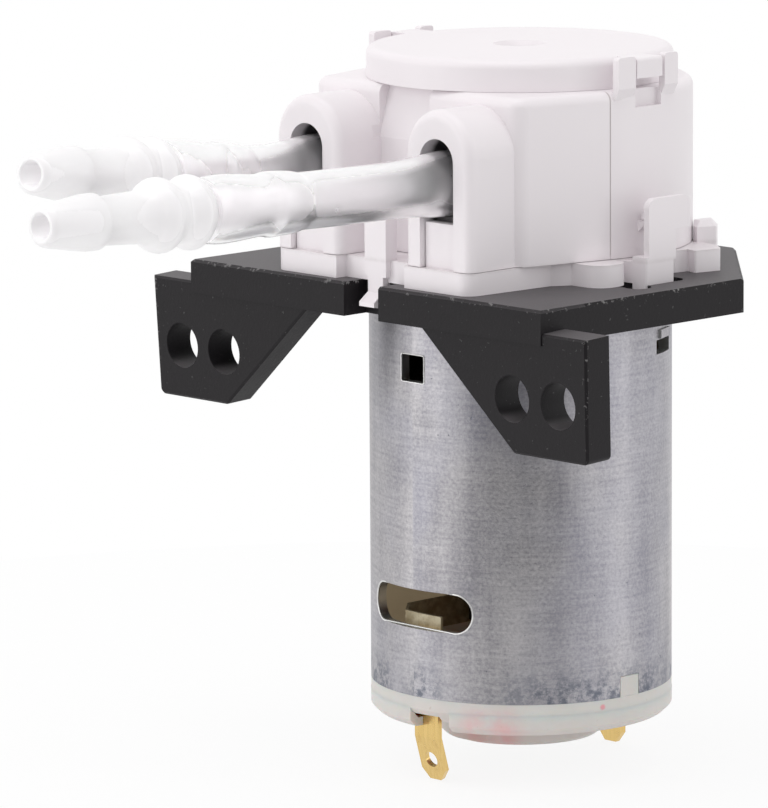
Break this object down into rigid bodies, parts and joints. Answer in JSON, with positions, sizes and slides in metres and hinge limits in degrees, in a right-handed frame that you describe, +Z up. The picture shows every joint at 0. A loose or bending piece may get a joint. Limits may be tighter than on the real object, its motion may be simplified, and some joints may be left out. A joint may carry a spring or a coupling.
{
  "type": "peristaltic dosing pump",
  "caption": "Small motor-driven tubing pump: a round roller head with two barbed tube stubs, on a bracket with screw ears, over a cylindrical DC motor.",
  "frame": {"origin": "centre of the four ear holes, in the front face of the ears at the holes' height", "axes": "+Z up along the motor shaft, from the motor to the pump head; -Y the way the tubes leave; +X right seen from the tubes' side facing the pump is the viewer's right"},
  "size_m": [0.0554, 0.0844, 0.0666],
  "materials": {
    "black_plastic": "moulded black ABS, matte with light edge scuffs",
    "white_plastic": "moulded white ABS, satin",
    "silicone": "clear silicone",
    "frosted_plastic": "translucent polypropylene",
    "zinc_steel": "zinc plated",
    "galvanised_can": "zinc plated drawn steel, mottled",
    "nylon": "translucent natural nylon",
    "brass": "plain brass",
    "copper_strip": "copper",
    "carbon": "pressed carbon",
    "bronze": "sintered bronze",
    "ferrite": "ferrite",
    "spring_steel": "spring steel",
    "ground_steel": "ground steel",
    "laminations": "stacked electrical steel",
    "enamelled_wire": "enamelled copper wire",
    "fibre": "vulcanised fibre",
    "cage_plastic": "acetal",
    "roller_plastic": "acetal"
  },
  "bodies": {
    "pump": {"mounting_bracket": "black_plastic", "base_plate": "white_plastic", "rear_housing": "white_plastic", "front_housing": "white_plastic", "top_cover": "white_plastic", "pump_tube": "silicone", "inlet_connector": "frosted_plastic", "outlet_connector": "frosted_plastic", "head_screws": "zinc_steel", "motor_can": "galvanised_can", "motor_end_cap": "nylon", "front_terminal": "brass", "rear_terminal": "brass", "brush_arms": "copper_strip", "carbon_brushes": "carbon", "front_bushing": "bronze", "rear_bushing": "bronze", "right_magnet": "ferrite", "left_magnet": "ferrite", "magnet_springs": "spring_steel"},
    "armature": {"motor_shaft": "ground_steel", "armature_core": "laminations", "armature_windings": "enamelled_wire", "commutator": "copper_strip", "shaft_spacers": "fibre"},
    "roller_cage": {"lower_cage_plate": "cage_plastic", "upper_cage_plate": "cage_plastic", "roller_pins": "ground_steel"},
    "roller_a": {"roller_1": "roller_plastic"},
    "roller_b": {"roller_2": "roller_plastic"},
    "roller_c": {"roller_3": "roller_plastic"}
  },
  "joints": [
    {"name": "motor_spin", "type": "hinge", "parent": "pump", "child": "armature", "pos_m": [0, 0.01972, 0.0082], "axis": [0, 0, 1], "continuous": true},
    {"name": "cage_spin", "type": "hinge", "parent": "pump", "child": "roller_cage", "pos_m": [0, 0.01972, 0.0175], "axis": [0, 0, 1], "continuous": true},
    {"name": "roller_1_spin", "type": "hinge", "parent": "roller_cage", "child": "roller_a", "pos_m": [0, 0.02592, 0.0175], "axis": [0, 0, 1], "continuous": true},
    {"name": "roller_2_spin", "type": "hinge", "parent": "roller_cage", "child": "roller_b", "pos_m": [-0.00537, 0.01662, 0.0175], "axis": [0, 0, 1], "continuous": true},
    {"name": "roller_3_spin", "type": "hinge", "parent": "roller_cage", "child": "roller_c", "pos_m": [0.00537, 0.01662, 0.0175], "axis": [0, 0, 1], "continuous": true}
  ],
  "couplings": [
    {"joint": "cage_spin", "follows": "motor_spin", "ratio": 0.093117},
    {"joint": "roller_1_spin", "follows": "motor_spin", "ratio": -0.20858},
    {"joint": "roller_2_spin", "follows": "motor_spin", "ratio": -0.20858},
    {"joint": "roller_3_spin", "follows": "motor_spin", "ratio": -0.20858}
  ]
}
